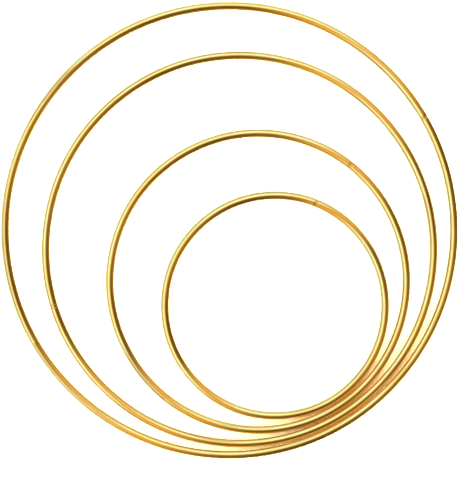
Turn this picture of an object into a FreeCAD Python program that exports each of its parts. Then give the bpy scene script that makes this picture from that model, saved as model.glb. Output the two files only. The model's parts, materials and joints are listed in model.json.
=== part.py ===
import FreeCAD, Part

import math
import os

import Sketcher
from FreeCAD import Placement, Rotation, Vector

# A set of four round wire hoops for wreath making, lying flat inside one another.
#
# Each hoop is one length of round wire bent into a circle. Its two ends are cut square, their rims are
# rounded off, and a butt weld fills the seam between them. Nothing joins one hoop to the next: they lie
# loose on one plane, and each smaller hoop all but touches the inside of the next larger.
#
# Frame: millimetres, +Z up, the resting plane at Z = 0 and the outer hoop's centre at X = Y = 0.
# Directions are angles in degrees, counted from +X towards +Y.

# Driving dimensions: alias, value, meaning.
DIMENSIONS = [
    ("wire_diameter", 5.0, "diameter of the round wire, the same in every hoop"),
    ("end_rounding", 0.25, "rounding of the rim of each cut end of a wire"),
    ("weld_undercut", 0.06, "how far a weld is filed below the wire's surface"),
    ("weld_rounding", 0.12, "rounding of the two rims of a weld"),
    ("outer_hoop_diameter", 300.0, "outside diameter of the outer hoop"),
    ("outer_hoop_seam_width", 1.0, "length of the seam that the weld fills"),
    ("outer_hoop_seam_direction", 30.0, "where the seam is, seen from the hoop's own centre"),
    ("second_hoop_diameter", 260.0, "outside diameter of the second hoop"),
    ("second_hoop_seam_width", 2.0, "length of its seam"),
    ("second_hoop_seam_direction", 197.0, "direction of its seam"),
    ("second_hoop_lean_direction", -62.0, "from the outer hoop's centre to the second hoop's centre"),
    ("second_hoop_lean_gap", 0.7, "smallest gap to the outer hoop"),
    ("third_hoop_diameter", 200.0, "outside diameter of the third hoop"),
    ("third_hoop_seam_width", 1.6, "length of its seam"),
    ("third_hoop_seam_direction", 51.5, "direction of its seam"),
    ("third_hoop_lean_direction", -60.0, "from the second hoop's centre to the third hoop's centre"),
    ("third_hoop_lean_gap", 0.7, "smallest gap to the second hoop"),
    ("inner_hoop_diameter", 150.0, "outside diameter of the inner hoop"),
    ("inner_hoop_seam_width", 1.6, "length of its seam"),
    ("inner_hoop_seam_direction", 68.0, "direction of its seam"),
    ("inner_hoop_lean_direction", -55.0, "from the third hoop's centre to the inner hoop's centre"),
    ("inner_hoop_lean_gap", 0.7, "smallest gap to the third hoop"),
]

# Each hoop, from the largest to the smallest, and the larger hoop that it leans towards.
HOOPS = [
    ("outer_hoop", None),
    ("second_hoop", "outer_hoop"),
    ("third_hoop", "second_hoop"),
    ("inner_hoop", "third_hoop"),
]

VOLUME_TOLERANCE = 0.01  # a bent wire's volume against its section times its length


def cell(alias):
    """The expression that reads one driving dimension."""
    return f"Dimensions.{alias}"


def make_dimensions(doc):
    """Write the driving dimensions into the document's spreadsheet."""
    sheet = doc.addObject("Spreadsheet::Sheet", "Dimensions")
    for row, (alias, value, meaning) in enumerate(DIMENSIONS, start=1):
        sheet.set(f"A{row}", alias)
        sheet.set(f"B{row}", str(value))
        sheet.set(f"C{row}", meaning)
        sheet.setAlias(f"B{row}", alias)
    doc.recompute()
    return sheet


def wire_line_radius(hoop):
    """Expression for the radius of the wire's centre line."""
    return f"({cell(hoop + '_diameter')} - {cell('wire_diameter')}) / 2"


def seam_angle(hoop):
    """Expression for the angle that the seam takes up, in degrees."""
    return f"{cell(hoop + '_seam_width')} / ({wire_line_radius(hoop)}) * 180 / pi"


def origin_feature(body, role):
    """The body's own origin plane or axis with this role."""
    return next(feature for feature in body.Origin.OriginFeatures if feature.Role == role)


def draw_section(body, hoop, side, diameter):
    """Sketch the round section on the XZ plane, on the +X side (1) or the -X side (-1)."""
    sketch = body.newObject("Sketcher::SketchObject", f"{body.Name}_section")
    sketch.AttachmentSupport = [(origin_feature(body, "XZ_Plane"), "")]
    sketch.MapMode = "FlatFace"
    sketch.addGeometry(Part.Circle(Vector(side, 1, 0), Vector(0, 0, 1), 1))
    centre, origin = (0, 3), (-1, 1)
    across = (origin, centre) if side > 0 else (centre, origin)
    rules = [
        ("line_radius", Sketcher.Constraint("DistanceX", *across[0], *across[1], 1), wire_line_radius(hoop)),
        ("height", Sketcher.Constraint("DistanceY", *origin, *centre, 1), f"{cell('wire_diameter')} / 2"),
        ("diameter", Sketcher.Constraint("Diameter", 0, 2), diameter),
    ]
    for name, rule, expression in rules:
        index = sketch.addConstraint(rule)
        sketch.renameConstraint(index, name)
        sketch.setExpression(f"Constraints.{name}", expression)
    return sketch


def sweep_round(body, sketch, angle):
    """Turn a section about the hoop's axis, half of the angle to each side of it."""
    sweep = body.newObject("PartDesign::Revolution", f"{body.Name}_sweep")
    sweep.Profile = sketch
    sweep.ReferenceAxis = (sketch, ["V_Axis"])
    sweep.Midplane = True
    sweep.setExpression("Angle", angle)
    body.Document.recompute()
    return sweep


def round_rims(body, sweep, radius):
    """Round off the two circular rims where the sweep ends."""
    rims = [f"Edge{index}" for index, edge in enumerate(sweep.Shape.Edges, start=1) if edge.Closed]
    rounding = body.newObject("PartDesign::Fillet", f"{body.Name}_rim_rounding")
    rounding.Base = (sweep, rims)
    rounding.setExpression("Radius", radius)
    return rounding


def place_hoop(body, hoop, larger_hoop):
    """Put the hoop close inside the larger one and turn its seam to its direction."""
    body.Placement = Placement(Vector(0, 0, 0), Rotation(Vector(0, 0, 1), 1))
    body.setExpression("Placement.Rotation.Angle", cell(hoop + "_seam_direction"))
    if larger_hoop is None:
        return
    lean = (
        f"(({cell(larger_hoop + '_diameter')} - {cell(hoop + '_diameter')}) / 2"
        f" - {cell('wire_diameter')} - {cell(hoop + '_lean_gap')}) * 1 mm"
    )
    direction = f"({cell(hoop + '_lean_direction')} * 1 deg)"
    larger_centre = f"{larger_hoop}_wire.Placement.Base"
    body.setExpression("Placement.Base.x", f"{larger_centre}.x + {lean} * cos{direction}")
    body.setExpression("Placement.Base.y", f"{larger_centre}.y + {lean} * sin{direction}")


def make_wire(doc, hoop, larger_hoop):
    """The bent wire: a circle open only at its seam, with both cut ends rounded off."""
    body = doc.addObject("PartDesign::Body", f"{hoop}_wire")
    section = draw_section(body, hoop, -1, cell("wire_diameter"))
    sweep = sweep_round(body, section, f"360 - {seam_angle(hoop)}")
    round_rims(body, sweep, cell("end_rounding"))
    place_hoop(body, hoop, larger_hoop)
    return body


def make_weld(doc, hoop, larger_hoop):
    """The butt weld: a short stretch of the same circle, face to face with both wire ends."""
    body = doc.addObject("PartDesign::Body", f"{hoop}_weld")
    diameter = f"{cell('wire_diameter')} - 2 * {cell('weld_undercut')}"
    section = draw_section(body, hoop, 1, diameter)
    sweep = sweep_round(body, section, seam_angle(hoop))
    round_rims(body, sweep, cell("weld_rounding"))
    place_hoop(body, hoop, larger_hoop)
    return body


def check_document(doc, bodies):
    """Stop if any object failed, or if a sub-part is not one sound solid."""
    for item in doc.Objects:
        if "Invalid" in item.State or "Error" in item.State:
            raise RuntimeError(f"{item.Label} failed: {item.State}")
    for body in bodies:
        if body.Shape.isNull() or not body.Shape.isValid():
            raise RuntimeError(f"{body.Label} has no valid shape")
        if len(body.Shape.Solids) != 1:
            raise RuntimeError(f"{body.Label} is {len(body.Shape.Solids)} solids, not one")


def check_wire_volume(sheet, hoop, wire):
    """Compare a wire's volume with its section times its length."""
    line_radius = (sheet.get(f"{hoop}_diameter") - sheet.wire_diameter) / 2
    length = 2 * math.pi * line_radius - sheet.get(f"{hoop}_seam_width")
    expected = math.pi * (sheet.wire_diameter / 2) ** 2 * length
    if abs(wire.Shape.Volume / expected - 1) > VOLUME_TOLERANCE:
        raise RuntimeError(f"{wire.Label} has volume {wire.Shape.Volume}, not {expected}")


def main():
    doc = FreeCAD.newDocument("wreath_hoops")
    sheet = make_dimensions(doc)
    wires = [make_wire(doc, hoop, larger_hoop) for hoop, larger_hoop in HOOPS]
    welds = [make_weld(doc, hoop, larger_hoop) for hoop, larger_hoop in HOOPS]
    doc.recompute()
    check_document(doc, wires + welds)
    for (hoop, _), wire in zip(HOOPS, wires):
        check_wire_volume(sheet, hoop, wire)
    os.makedirs("parts", exist_ok=True)
    for body in wires + welds:
        body.Shape.exportStep(f"parts/{body.Label}.step")


main()
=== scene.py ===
import json
import math

import bpy
import numpy as np
from bpy.props import FloatProperty, FloatVectorProperty, IntProperty, PointerProperty
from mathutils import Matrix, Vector


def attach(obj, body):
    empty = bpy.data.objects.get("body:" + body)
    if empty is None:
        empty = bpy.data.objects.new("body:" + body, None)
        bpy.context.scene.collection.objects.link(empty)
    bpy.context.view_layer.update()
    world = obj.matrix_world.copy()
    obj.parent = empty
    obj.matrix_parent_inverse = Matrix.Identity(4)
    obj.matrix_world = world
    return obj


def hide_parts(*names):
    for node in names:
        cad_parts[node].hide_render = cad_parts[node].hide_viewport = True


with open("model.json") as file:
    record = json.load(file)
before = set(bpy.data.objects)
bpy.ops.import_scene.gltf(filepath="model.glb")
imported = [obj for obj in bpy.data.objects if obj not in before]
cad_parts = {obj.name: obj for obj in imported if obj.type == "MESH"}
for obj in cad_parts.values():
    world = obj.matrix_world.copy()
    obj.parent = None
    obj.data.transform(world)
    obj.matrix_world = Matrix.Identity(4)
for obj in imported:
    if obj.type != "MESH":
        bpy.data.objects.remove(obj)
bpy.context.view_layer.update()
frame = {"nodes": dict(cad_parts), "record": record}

bl_info = {
    "name": "Wreath Hoops",
    "version": (1, 0, 0),
    "blender": (4, 5, 0),
    "location": "View3D > Sidebar > Wreath Hoops",
    "description": "Gold-plated wire hoops with drawn-wire lines and filed butt welds",
    "category": "Add Mesh",
}

MM = 0.001
TURN = math.tau

# Fitting a ring to a wire's vertices: how often the fit is bettered, and the step that its slopes take.
FIT_ROUNDS = 8
FIT_STEP = 1e-6

# The bent wire. Each wave is its share of the unevenness and how often it comes round the hoop.
ROLL_WAVES = [(0.6, 3), (0.4, 8)]
ROUNDING_STEPS = 5  # facets along the rounding of a cut end

# The filed weld: its flats, where the first one starts as a share of a flat, and the ripple over them.
WELD_STEPS = 10
WELD_FLATS = 9
FIRST_FLAT = 0.37
FLAT_SHARE = 0.7
RIPPLE_SHARE = 0.3
RIPPLE_WAVES_ALONG = 1.5
RIPPLE_WAVES_ROUND = 2

# Noise in the plating: features per metre along the wire and across it, detail and roughness.
DIE_LINES = (18, 1100, 4, 0.6)
COARSE_LINES = (12, 640, 2, 0.5)
PLATING_CLOUDS = (45, 160, 3, 0.5)
FILE_STROKES = (5200, 420, 2, 0.5)

# Noise values, or distances, over which a mask goes from one end to the other.
DARK_LINE_EDGE = (0.54, 0.62)
CLOUD_EDGE = (0.35, 0.65)
GROOVE_EDGE = (0.08 * MM, 0.26 * MM)  # from a rim of the weld
FILED_EDGE = (0.8 * MM, 2.4 * MM)  # from the middle of the seam
FILED_RAGGEDNESS = 1.5 * MM  # how far the strokes move that edge

# How strongly each mark colours the plating.
DARK_LINE_SHARE = 0.5
FILED_SHARE = 0.8
GROOVE_SHARE = 0.6

# How much roughness each mark adds. The drawn lines spread it to both sides of the plating's own.
LINE_ROUGHNESS = 0.12
FILED_ROUGHNESS = 0.10
GROOVE_ROUGHNESS = 0.10
STROKE_STRENGTH = 0.8  # strength of the bumps that filing leaves

# The floor is a square of twice this half, and the camera sees up to the clip end, in metres.
FLOOR_HALF = 4.0
FLOOR_DROP = 0.02 * MM
FLOOR_ROUGHNESS = 0.9
CLIP_END = 50.0
SENSOR_WIDTH = 36.0  # in millimetres, as the focal length is

# What the metal reflects, as colours from straight up (0) through level (0.5) to straight down (1).
SOFTBOX_TONES = [
    (0.00, (0.44, 0.35, 0.16)), (0.05, (0.56, 0.51, 0.319)), (0.11, (0.80, 0.78, 0.61)),
    (0.20, (0.86, 0.87, 0.784)), (0.25, (0.84, 0.86, 0.798)), (0.32, (0.55, 0.60, 0.537)),
    (0.42, (0.42, 0.48, 0.414)), (0.72, (0.40, 0.44, 0.348)), (1.00, (0.14, 0.14, 0.058)),
]
SIDE_TONES = [
    (0.00, (0.50, 0.35, 0.138)), (0.09, (0.38, 0.23, 0.065)), (0.23, (0.74, 0.45, 0.145)),
    (0.38, (0.34, 0.18, 0.044)), (0.54, (0.66, 0.41, 0.138)), (0.74, (0.36, 0.22, 0.073)),
    (1.00, (0.12, 0.07, 0.022)),
]
DARK_TONES = [
    (0.00, (0.44, 0.35, 0.16)), (0.04, (0.32, 0.25, 0.102)), (0.10, (0.19, 0.13, 0.051)),
    (0.18, (0.13, 0.08, 0.022)), (0.40, (0.13, 0.07, 0.016)), (0.56, (0.155, 0.088, 0.024)),
    (0.70, (0.38, 0.25, 0.131)), (1.00, (0.10, 0.05, 0.015)),
]
METAL_BRIGHTNESS = 1.5

# Where one side gives way to the next: the cosine of the direction from the softbox.
DARK_TO_SIDE = (-0.50, -0.15)
SIDE_TO_SOFTBOX = (-0.12, 0.22)
LEAST_LEVEL = 0.001  # keeps that cosine finite straight up and down

# Stripes of dimmer and brighter light on the dark side.
STRIPES = 4.0
STRIPE_OFFSET = math.radians(8)
STRIPE_LIGHT = (0.68, 1.65)

# The tone of metal seen in metal, and the heights, up to down as above, over which it comes in.
BETWEEN_TONE = (0.36, 0.13, 0.03)
BETWEEN_HEIGHTS = (0.42, 0.56)

# Numbers of bounces that tell a second reflection from a first, and light off the floor from none.
SECOND_REFLECTION = 1.5
BEFORE_FLOOR = 0.5

# The floor's light, again up to down: where the windows begin below a dark ceiling, and where light
# off the metal goes from its strength above level to its strength below.
WINDOW_HEIGHTS = (16 / 180, 24 / 180)
BOUNCE_HEIGHTS = (0.42, 0.58)
BOUNCE_STRENGTHS = (1.3, 0.65)


# ------------------------------------------------------------------ what the frame says of each hoop

class HoopPlan:
    """Centre, radii and seam of one hoop, measured on its wire and weld in the frame."""

    def __init__(self, name):
        self.name = name
        self.wire_node = f"{name}_wire"
        self.weld_node = f"{name}_weld"
        centre_x, centre_y, self.line_radius, self.wire_radius = fit_torus(node_points(self.wire_node))
        self.centre = Vector((centre_x, centre_y, self.wire_radius))
        weld = node_points(self.weld_node)
        middle = weld.mean(axis=0)
        self.seam_direction = math.atan2(middle[1] - centre_y, middle[0] - centre_x)
        angles = np.arctan2(weld[:, 1] - centre_y, weld[:, 0] - centre_x) - self.seam_direction
        angles = (angles + math.pi) % TURN - math.pi
        self.seam_angle = float(angles.max() - angles.min())
        self.seam_width = self.seam_angle * self.line_radius
        out = np.hypot(weld[:, 0] - centre_x, weld[:, 1] - centre_y) - self.line_radius
        self.weld_radius = float(np.hypot(out, weld[:, 2] - self.wire_radius).max())

    def point(self, angle, out, height):
        """A point at this angle round the hoop, this far out from the wire's line and above it."""
        reach = self.line_radius + out
        return (
            self.centre.x + reach * math.cos(angle),
            self.centre.y + reach * math.sin(angle),
            self.centre.z + height,
        )


def node_points(node):
    """The vertices of one node as an array, in metres."""
    return np.array([vertex.co for vertex in frame["nodes"][node].data.vertices], float)


def fit_torus(points):
    """Centre x and y, centre line radius and wire radius of a ring that rests on Z = 0."""
    low, high = points.min(axis=0), points.max(axis=0)
    wire_radius = (high[2] - low[2]) / 2
    answer = np.array([*(low + high)[:2] / 2, (high[0] - low[0]) / 2 - wire_radius, wire_radius])

    def misfit(values):
        x, y, line_radius, thickness = values
        out = np.hypot(points[:, 0] - x, points[:, 1] - y) - line_radius
        return np.hypot(out, points[:, 2] - thickness) - thickness

    steps = FIT_STEP * np.eye(len(answer))
    for _ in range(FIT_ROUNDS):
        now = misfit(answer)
        slopes = np.stack([(misfit(answer + step) - now) / FIT_STEP for step in steps], axis=1)
        answer = answer - np.linalg.lstsq(slopes, now, rcond=None)[0]
    return [float(value) for value in answer]


PLANS = [HoopPlan(name) for name in frame["record"]["behaviour"]["bodies"]]
OUTER = PLANS[0]


# ------------------------------------------------------------------ settings a user would change

class HoopShapeSettings(bpy.types.PropertyGroup):
    section_points: IntProperty(
        name="Section points", description="Points round the wire's section", default=32, min=12)
    ring_points: IntProperty(
        name="Ring points", description="Sections round the outer hoop", default=720, min=90)
    unevenness: FloatProperty(
        name="Unevenness", description="How far the bending rolls leave the wire inside its true circle",
        default=0.20 * MM, unit="LENGTH")
    end_rounding: FloatProperty(
        name="End rounding", description="Rounding of the wire's cut ends",
        default=0.25 * MM, unit="LENGTH")
    filed_depth: FloatProperty(
        name="Filed depth", description="Depth of the flats filed on a weld",
        default=0.05 * MM, unit="LENGTH")


class PlatingSettings(bpy.types.PropertyGroup):
    gold: FloatVectorProperty(
        name="Gold", description="Main colour of the plating", subtype="COLOR", size=3,
        default=(1.0, 0.76, 0.31))
    pale_gold: FloatVectorProperty(
        name="Pale gold", description="Colour where the plating is thin", subtype="COLOR", size=3,
        default=(1.0, 0.84, 0.43))
    filed_gold: FloatVectorProperty(
        name="Filed gold", description="Colour of the filed stretch round a seam", subtype="COLOR", size=3,
        default=(1.0, 0.72, 0.30))
    tarnish: FloatVectorProperty(
        name="Tarnish", description="Colour of the fine dark lines and of the seam's grooves",
        subtype="COLOR", size=3, default=(0.50, 0.24, 0.07))
    roughness: FloatProperty(
        name="Roughness", description="Roughness of the clean plating", default=0.13, min=0.0, max=1.0)
    line_depth: FloatProperty(
        name="Line depth", description="Height of the lines that the drawing die leaves",
        default=0.016 * MM, unit="LENGTH")


class StudioSettings(bpy.types.PropertyGroup):
    floor_colour: FloatVectorProperty(
        name="Floor", description="Colour of the floor", subtype="COLOR", size=3,
        default=(0.93, 0.93, 0.93))
    floor_light: FloatVectorProperty(
        name="Floor light", description="Light on the floor", size=3, default=(9.5, 9.5, 4.8))
    window_side: FloatProperty(
        name="Window side", default=math.radians(122), subtype="ANGLE",
        description="Line of the two windows that light the floor, from +X towards +Y")
    bounce_light: FloatVectorProperty(
        name="Bounce light", description="Light that the metal throws on to the floor", size=3,
        default=(1.9, 0.60, 0.0))
    softbox_side: FloatProperty(
        name="Softbox side", description="Direction of the softbox, from +X towards +Y",
        default=math.radians(145), subtype="ANGLE")
    focal_length: FloatProperty(
        name="Focal length", description="Focal length of the camera, in millimetres", default=135.0)
    view_height: FloatProperty(
        name="View height", description="Height of the picture at the hoops",
        default=0.3204, unit="LENGTH")
    view_shift: FloatVectorProperty(
        name="View shift", description="Where the camera stands from the outer hoop's centre",
        size=2, default=(0.36 * MM, -9.04 * MM), unit="LENGTH")


# ------------------------------------------------------------------ meshes

def new_piece(name, vertices, faces, material):
    """A smooth-shaded mesh object in the scene."""
    mesh = bpy.data.meshes.new(name)
    mesh.from_pydata(vertices, [], faces)
    mesh.validate()
    mesh.polygons.foreach_set("use_smooth", [True] * len(mesh.polygons))
    mesh.materials.append(material)
    piece = bpy.data.objects.new(name, mesh)
    bpy.context.scene.collection.objects.link(piece)
    return piece


def rolled_in(plan, angle, unevenness):
    """How far the wire lies inside its true circle: slow waves from the bending rolls, none at the seam."""
    turn = angle - plan.seam_direction
    return unevenness * sum(share * math.sin(waves / 2 * turn) ** 2 for share, waves in ROLL_WAVES)


def tube(plan, stations, count, section_radius, unevenness):
    """Skin over the stations, each (angle, shrink), closed at both ends with a fan.

    section_radius(angle, turn) is the section's radius at a station, before its shrink.
    """
    vertices, faces = [], []
    for angle, shrink in stations:
        inset = rolled_in(plan, angle, unevenness)
        for step in range(count):
            turn = TURN * step / count
            radius = section_radius(angle, turn) - shrink
            vertices.append(plan.point(angle, radius * math.cos(turn) - inset, radius * math.sin(turn)))
    for row in range(len(stations) - 1):
        for step in range(count):
            here, beside = row * count + step, row * count + (step + 1) % count
            faces.append((here, here + count, beside + count, beside))
    for row, flip in ((0, False), (len(stations) - 1, True)):
        hub = len(vertices)
        angle = stations[row][0]
        vertices.append(plan.point(angle, -rolled_in(plan, angle, unevenness), 0))
        for step in range(count):
            here, beside = row * count + step, row * count + (step + 1) % count
            faces.append((hub, beside, here) if flip else (hub, here, beside))
    return vertices, faces


def rounded_end(rounding):
    """Pairs (distance from the cut face, shrink) along a quarter round."""
    turns = [math.pi / 2 * step / ROUNDING_STEPS for step in range(ROUNDING_STEPS + 1)]
    return [(rounding * (1 - math.sin(turn)), rounding * (1 - math.cos(turn))) for turn in reversed(turns)]


def end_to_end(plan, start, length, rounding, steps):
    """Stations from one rounded cut face to the other, from the start angle on, anticlockwise."""
    ends = rounded_end(rounding)
    near = [(start + distance / plan.line_radius, shrink) for distance, shrink in ends]
    far = [(start + length - distance / plan.line_radius, shrink) for distance, shrink in reversed(ends)]
    first, last = near[-1][0], far[0][0]
    between = [(first + (last - first) * step / steps, 0.0) for step in range(1, steps)]
    return near + between + far


def make_wire_piece(plan, shape, material):
    """The bent wire, open only at its seam, with the slight unevenness that bending rolls leave."""
    start = plan.seam_direction + plan.seam_angle / 2
    steps = round(shape.ring_points * plan.line_radius / OUTER.line_radius)
    stations = end_to_end(plan, start, TURN - plan.seam_angle, shape.end_rounding, steps)

    def round_section(_angle, _turn):
        return plan.wire_radius

    vertices, faces = tube(plan, stations, shape.section_points, round_section, shape.unevenness)
    return new_piece(f"{plan.name}_drawn_wire", vertices, faces, material)


def make_weld_piece(plan, shape, material):
    """The butt weld, filed to a few narrow flats that are almost flush with the wire."""
    start = plan.seam_direction - plan.seam_angle / 2
    stations = end_to_end(plan, start, plan.seam_angle, shape.end_rounding / 2, WELD_STEPS)

    def filed_section(angle, turn):
        across = (turn * WELD_FLATS / TURN + FIRST_FLAT) % 1.0 - 0.5
        flat = 1 - 4 * across * across
        along = (angle - start) / plan.seam_angle * TURN
        ripple = 0.5 + 0.5 * math.sin(along * RIPPLE_WAVES_ALONG + turn * RIPPLE_WAVES_ROUND)
        return plan.weld_radius - shape.filed_depth * (FLAT_SHARE * flat + RIPPLE_SHARE * ripple)

    vertices, faces = tube(plan, stations, shape.section_points * 2, filed_section, shape.unevenness)
    return new_piece(f"{plan.name}_weld_bead", vertices, faces, material)


# ------------------------------------------------------------------ shader node helpers

def add_node(tree, kind, **settings):
    """A new node of this kind with these settings."""
    node = tree.nodes.new(kind)
    for name, value in settings.items():
        setattr(node, name, value)
    return node


def feed(tree, node, **inputs):
    """Set or link inputs of a node by name, with _ for a space. Keys in0, in1... go by number."""
    for name, value in inputs.items():
        by_number = name.startswith("in") and name[2:].isdigit()
        socket = node.inputs[int(name[2:]) if by_number else name.replace("_", " ")]
        if isinstance(value, bpy.types.NodeSocket):
            tree.links.new(value, socket)
        else:
            socket.default_value = value
    return node


def calculate(tree, operation, first, second=0.0, third=0.0):
    """The result of a math node."""
    node = add_node(tree, "ShaderNodeMath", operation=operation)
    feed(tree, node, in0=first, in1=second, in2=third)
    return node.outputs[0]


def hypotenuse(tree, x, y):
    """The square root of x squared plus y squared."""
    squares = calculate(tree, "ADD", calculate(tree, "MULTIPLY", x, x), calculate(tree, "MULTIPLY", y, y))
    return calculate(tree, "SQRT", squares)


def remap(tree, value, low, high, start=0.0, end=1.0, smooth=True):
    """Value from low..high taken to start..end, clamped."""
    node = add_node(tree, "ShaderNodeMapRange", interpolation_type="SMOOTHSTEP" if smooth else "LINEAR")
    feed(tree, node, Value=value, From_Min=low, From_Max=high, To_Min=start, To_Max=end)
    return node.outputs["Result"]


def blend_colours(tree, share, first, second):
    """First colour at share 0, second at share 1."""
    node = add_node(tree, "ShaderNodeMix", data_type="RGBA")
    feed(tree, node, in0=share, in6=first, in7=second)
    return node.outputs[2]


def scale_colour(tree, colour, scale):
    """A colour times a number."""
    node = add_node(tree, "ShaderNodeVectorMath", operation="SCALE")
    feed(tree, node, Vector=colour, Scale=scale)
    return node.outputs[0]


def opaque(colour):
    """A colour of three numbers as the four that a colour socket takes."""
    return (*colour, 1.0)


def ramp(tree, value, stops):
    """A colour ramp through (position, colour) stops."""
    node = add_node(tree, "ShaderNodeValToRGB")
    elements = node.color_ramp.elements
    while len(elements) < len(stops):
        elements.new(0.5)
    for element, (position, colour) in zip(elements, stops):
        element.position = position
        element.color = opaque(colour)
    feed(tree, node, Fac=value)
    return node.outputs["Color"]


# ------------------------------------------------------------------ shader groups

def start_group(name, inputs, outputs):
    """An empty shader group with these sockets. Each is (name, kind)."""
    group = bpy.data.node_groups.new(name, "ShaderNodeTree")
    for label, kind in inputs:
        group.interface.new_socket(label, in_out="INPUT", socket_type=kind)
    for label, kind in outputs:
        group.interface.new_socket(label, in_out="OUTPUT", socket_type=kind)
    return group, group.nodes.new("NodeGroupInput"), group.nodes.new("NodeGroupOutput")


PLACE_SOCKETS = [
    ("Centre", "NodeSocketVector"),
    ("Seam Turn", "NodeSocketVector"),
    ("Line Radius", "NodeSocketFloat"),
]


def wire_coordinates(group, source):
    """Sockets for the distance along the wire from the seam, out from its line, and above it."""
    place = add_node(group, "ShaderNodeTexCoord")
    turned = add_node(group, "ShaderNodeMapping", vector_type="TEXTURE")
    feed(group, turned, Vector=place.outputs["Object"], Location=source.outputs["Centre"],
         Rotation=source.outputs["Seam Turn"])
    split = add_node(group, "ShaderNodeSeparateXYZ")
    feed(group, split, Vector=turned.outputs[0])
    x, y, z = split.outputs
    angle = calculate(group, "ARCTAN2", y, x)
    along = calculate(group, "MULTIPLY", angle, source.outputs["Line Radius"])
    out = calculate(group, "SUBTRACT", hypotenuse(group, x, y), source.outputs["Line Radius"])
    return along, out, z


def noise(group, along, out, height, along_scale, across_scale, detail, roughness):
    """Noise in wire coordinates, with its own number of features per metre each way."""
    place = add_node(group, "ShaderNodeCombineXYZ")
    feed(group, place, X=calculate(group, "MULTIPLY", along, along_scale),
         Y=calculate(group, "MULTIPLY", out, across_scale),
         Z=calculate(group, "MULTIPLY", height, across_scale))
    texture = add_node(group, "ShaderNodeTexNoise", noise_dimensions="3D")
    feed(group, texture, Vector=place.outputs[0], Scale=1.0, Detail=detail, Roughness=roughness)
    return texture.outputs[0]


def make_drawn_lines_group():
    """Long fine lines from the drawing die, and slow clouds in the plating."""
    group, source, result = start_group(
        "Drawn Wire Lines", PLACE_SOCKETS,
        [("Lines", "NodeSocketFloat"), ("Dark Lines", "NodeSocketFloat"), ("Clouds", "NodeSocketFloat")])
    along, out, height = wire_coordinates(group, source)
    lines = noise(group, along, out, height, *DIE_LINES)
    coarse = noise(group, along, out, height, *COARSE_LINES)
    clouds = noise(group, along, out, height, *PLATING_CLOUDS)
    feed(group, result, Lines=lines,
         Dark_Lines=remap(group, coarse, *DARK_LINE_EDGE),
         Clouds=remap(group, clouds, *CLOUD_EDGE))
    return group


def make_seam_marks_group():
    """Masks near the seam: the groove at each rim of the weld, and the filed stretch round it."""
    group, source, result = start_group(
        "Seam Marks", PLACE_SOCKETS + [("Seam Width", "NodeSocketFloat")],
        [("Groove", "NodeSocketFloat"), ("Filed", "NodeSocketFloat"), ("File Strokes", "NodeSocketFloat")])
    along, out, height = wire_coordinates(group, source)
    distance = calculate(group, "ABSOLUTE", along)
    half = calculate(group, "MULTIPLY", source.outputs["Seam Width"], 0.5)
    from_rim = calculate(group, "ABSOLUTE", calculate(group, "SUBTRACT", distance, half))
    strokes = noise(group, along, out, height, *FILE_STROKES)
    ragged = calculate(group, "MULTIPLY_ADD", strokes, FILED_RAGGEDNESS, -FILED_RAGGEDNESS / 2)
    feed(group, result,
         Groove=remap(group, from_rim, *GROOVE_EDGE, 1.0, 0.0),
         Filed=remap(group, calculate(group, "ADD", distance, ragged), *FILED_EDGE, 1.0, 0.0),
         File_Strokes=strokes)
    return group


# ------------------------------------------------------------------ materials

def place_group(tree, group, plan, **more):
    """The group as a node, told where this hoop lies."""
    node = add_node(tree, "ShaderNodeGroup", node_tree=group)
    feed(tree, node, Centre=(plan.centre.x, plan.centre.y, plan.centre.z),
         Seam_Turn=(0.0, 0.0, plan.seam_direction), Line_Radius=plan.line_radius, **more)
    return node


def shared_group(name, make):
    """The shader group of this name, made on first use."""
    return bpy.data.node_groups.get(name) or make()


def make_plating(name, plan, plating, filed_share):
    """Gold plating over drawn wire. filed_share is how strongly filing shows away from the seam."""
    material = bpy.data.materials.new(name)
    material.use_nodes = True
    tree = material.node_tree
    shader = tree.nodes["Principled BSDF"]
    lines = place_group(tree, shared_group("Drawn Wire Lines", make_drawn_lines_group), plan)
    seam = place_group(tree, shared_group("Seam Marks", make_seam_marks_group), plan,
                       Seam_Width=plan.seam_width)
    filed = calculate(tree, "MAXIMUM", seam.outputs["Filed"], filed_share)

    tone = blend_colours(tree, lines.outputs["Clouds"], opaque(plating.gold), opaque(plating.pale_gold))
    for mark, share, colour in (
            (lines.outputs["Dark Lines"], DARK_LINE_SHARE, plating.tarnish),
            (filed, FILED_SHARE, plating.filed_gold),
            (seam.outputs["Groove"], GROOVE_SHARE, plating.tarnish)):
        tone = blend_colours(tree, calculate(tree, "MULTIPLY", mark, share), tone, opaque(colour))

    matt = calculate(tree, "MULTIPLY_ADD", lines.outputs["Lines"], LINE_ROUGHNESS,
                     plating.roughness - LINE_ROUGHNESS / 2)
    for mark, added in ((filed, FILED_ROUGHNESS), (seam.outputs["Groove"], GROOVE_ROUGHNESS)):
        matt = calculate(tree, "ADD", matt, calculate(tree, "MULTIPLY", mark, added))

    drawn = add_node(tree, "ShaderNodeBump")
    feed(tree, drawn, Strength=1.0, Distance=plating.line_depth, Height=lines.outputs["Lines"])
    strokes = add_node(tree, "ShaderNodeBump")
    feed(tree, strokes, Strength=STROKE_STRENGTH, Distance=plating.line_depth,
         Height=calculate(tree, "MULTIPLY", seam.outputs["File Strokes"], filed), Normal=drawn.outputs[0])

    shader.inputs["Metallic"].default_value = 1.0
    feed(tree, shader, Base_Color=tone, Roughness=matt, Normal=strokes.outputs[0])
    return material


# ------------------------------------------------------------------ studio

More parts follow.
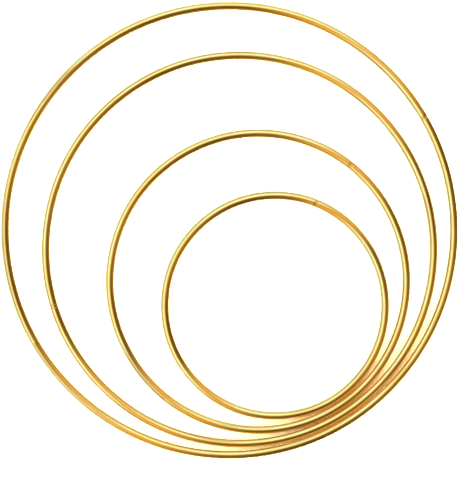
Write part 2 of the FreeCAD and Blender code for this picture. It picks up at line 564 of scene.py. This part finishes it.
def make_floor(studio):
    """A wide pale floor just below the hoops' resting plane."""
    signs = [(-1, -1), (1, -1), (1, 1), (-1, 1)]
    corners = [(FLOOR_HALF * x, FLOOR_HALF * y, 0.0) for x, y in signs]
    paint = bpy.data.materials.new("studio_floor")
    paint.use_nodes = True
    shader = paint.node_tree.nodes["Principled BSDF"]
    shader.inputs["Base Color"].default_value = opaque(studio.floor_colour)
    shader.inputs["Roughness"].default_value = FLOOR_ROUGHNESS
    floor = new_piece("studio_floor", corners, [(0, 1, 2, 3)], paint)
    floor.location.z = -FLOOR_DROP
    floor.visible_glossy = False


def metal_surroundings(tree, studio, place, polar, bearing, glossy_depth):
    """What the metal reflects: a softbox side, a warm dark side with stripes, and plain tones between."""
    x, y, _ = place.outputs
    towards_x = calculate(tree, "MULTIPLY", x, math.cos(studio.softbox_side))
    towards_y = calculate(tree, "MULTIPLY", y, math.sin(studio.softbox_side))
    level = calculate(tree, "MAXIMUM", hypotenuse(tree, x, y), LEAST_LEVEL)
    facing = calculate(tree, "DIVIDE", calculate(tree, "ADD", towards_x, towards_y), level)
    round_stripes = calculate(tree, "SUBTRACT", bearing, studio.softbox_side + STRIPE_OFFSET)
    stripes = calculate(tree, "COSINE", calculate(tree, "MULTIPLY", round_stripes, STRIPES))
    light = remap(tree, stripes, -1.0, 1.0, *STRIPE_LIGHT, smooth=False)
    seen = scale_colour(tree, ramp(tree, polar, DARK_TONES), light)
    seen = blend_colours(tree, remap(tree, facing, *DARK_TO_SIDE), seen, ramp(tree, polar, SIDE_TONES))
    softbox = ramp(tree, polar, SOFTBOX_TONES)
    seen = blend_colours(tree, remap(tree, facing, *SIDE_TO_SOFTBOX), seen, softbox)
    second = calculate(tree, "GREATER_THAN", glossy_depth, SECOND_REFLECTION)
    between = calculate(tree, "MULTIPLY", remap(tree, polar, *BETWEEN_HEIGHTS), second)
    seen = blend_colours(tree, between, seen, opaque(BETWEEN_TONE))
    return scale_colour(tree, seen, METAL_BRIGHTNESS)


def floor_windows(tree, studio, polar, bearing):
    """Two broad windows on opposite sides, with a dark ceiling between them, that light the floor."""
    towards = calculate(tree, "COSINE", calculate(tree, "SUBTRACT", bearing, studio.window_side))
    around = calculate(tree, "MULTIPLY", calculate(tree, "MULTIPLY", towards, towards),
                       remap(tree, polar, *WINDOW_HEIGHTS))
    return scale_colour(tree, tuple(studio.floor_light), around)


def make_surroundings(studio):
    """The world, which differs by kind of ray.

    Two windows light the floor, the metal reflects surroundings of its own, and light that the floor
    gets off the metal has a warm tone.
    """
    world = bpy.data.worlds.new("soft_studio")
    bpy.context.scene.world = world
    world.use_nodes = True
    world.cycles.sampling_method = "NONE"
    tree = world.node_tree
    source = add_node(tree, "ShaderNodeTexCoord")
    place = add_node(tree, "ShaderNodeSeparateXYZ")
    feed(tree, place, Vector=source.outputs["Generated"])
    x, y, z = place.outputs
    polar = calculate(tree, "DIVIDE", calculate(tree, "ARCCOSINE", z), math.pi)
    bearing = calculate(tree, "ARCTAN2", y, x)
    rays = add_node(tree, "ShaderNodeLightPath")
    glossy = rays.outputs["Is Glossy Ray"]

    seen = metal_surroundings(tree, studio, place, polar, bearing, rays.outputs["Glossy Depth"])
    windows = floor_windows(tree, studio, polar, bearing)
    strength = remap(tree, polar, *BOUNCE_HEIGHTS, *BOUNCE_STRENGTHS)
    thrown = scale_colour(tree, tuple(studio.bounce_light), strength)
    on_floor = blend_colours(tree, glossy, windows, thrown)
    direct = calculate(tree, "MULTIPLY", glossy,
                       calculate(tree, "LESS_THAN", rays.outputs["Diffuse Depth"], BEFORE_FLOOR))
    colour = blend_colours(tree, direct, on_floor, seen)
    feed(tree, tree.nodes["Background"], Strength=1.0, Color=colour)


def make_camera(studio):
    """A camera that looks straight down on the hoops."""
    lens = bpy.data.cameras.new("camera")
    lens.lens = studio.focal_length
    lens.sensor_width = SENSOR_WIDTH
    lens.clip_end = CLIP_END
    camera = bpy.data.objects.new("camera", lens)
    bpy.context.scene.collection.objects.link(camera)
    distance = studio.view_height * lens.lens / lens.sensor_width
    camera.location = OUTER.centre + Vector((*studio.view_shift, distance))
    bpy.context.scene.camera = camera


# ------------------------------------------------------------------ operators, panel, registration

class HOOPS_OT_make_wires(bpy.types.Operator):
    """Make the bent wire of every hoop"""
    bl_idname = "hoops.make_wires"
    bl_label = "Make Hoop Wires"

    def execute(self, context):
        scene = context.scene
        plating = scene.hoop_plating
        for plan in PLANS:
            material = make_plating(f"{plan.name}_gold_wire", plan, plating, 0.0)
            piece = make_wire_piece(plan, scene.hoop_shape, material)
            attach(piece, plan.name)
            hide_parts(plan.wire_node)
        return {"FINISHED"}


class HOOPS_OT_make_welds(bpy.types.Operator):
    """Make the filed butt weld of every hoop"""
    bl_idname = "hoops.make_welds"
    bl_label = "Make Hoop Welds"

    def execute(self, context):
        scene = context.scene
        plating = scene.hoop_plating
        for plan in PLANS:
            material = make_plating(f"{plan.name}_gold_weld", plan, plating, 1.0)
            piece = make_weld_piece(plan, scene.hoop_shape, material)
            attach(piece, plan.name)
            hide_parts(plan.weld_node)
        return {"FINISHED"}


class HOOPS_OT_make_studio(bpy.types.Operator):
    """Make the floor, the soft studio light and the camera"""
    bl_idname = "hoops.make_studio"
    bl_label = "Make Studio"

    def execute(self, context):
        studio = context.scene.hoop_studio
        make_floor(studio)
        make_surroundings(studio)
        make_camera(studio)
        context.scene.view_settings.view_transform = "Standard"
        return {"FINISHED"}


OPERATORS = (HOOPS_OT_make_wires, HOOPS_OT_make_welds, HOOPS_OT_make_studio)


class HOOPS_PT_panel(bpy.types.Panel):
    """Lists the hoop operators in the 3D view's sidebar"""
    bl_idname = "HOOPS_PT_panel"
    bl_label = "Wreath Hoops"
    bl_space_type = "VIEW_3D"
    bl_region_type = "UI"
    bl_category = "Wreath Hoops"

    def draw(self, context):
        for operator in OPERATORS:
            self.layout.operator(operator.bl_idname)


CLASSES = (HoopShapeSettings, PlatingSettings, StudioSettings, *OPERATORS, HOOPS_PT_panel)


def register():
    for item in CLASSES:
        bpy.utils.register_class(item)
    bpy.types.Scene.hoop_shape = PointerProperty(type=HoopShapeSettings)
    bpy.types.Scene.hoop_plating = PointerProperty(type=PlatingSettings)
    bpy.types.Scene.hoop_studio = PointerProperty(type=StudioSettings)


def unregister():
    del bpy.types.Scene.hoop_studio
    del bpy.types.Scene.hoop_plating
    del bpy.types.Scene.hoop_shape
    for item in reversed(CLASSES):
        bpy.utils.unregister_class(item)


def main():
    register()
    bpy.ops.hoops.make_wires()
    bpy.ops.hoops.make_welds()
    bpy.ops.hoops.make_studio()


if __name__ == "__main__":
    main()
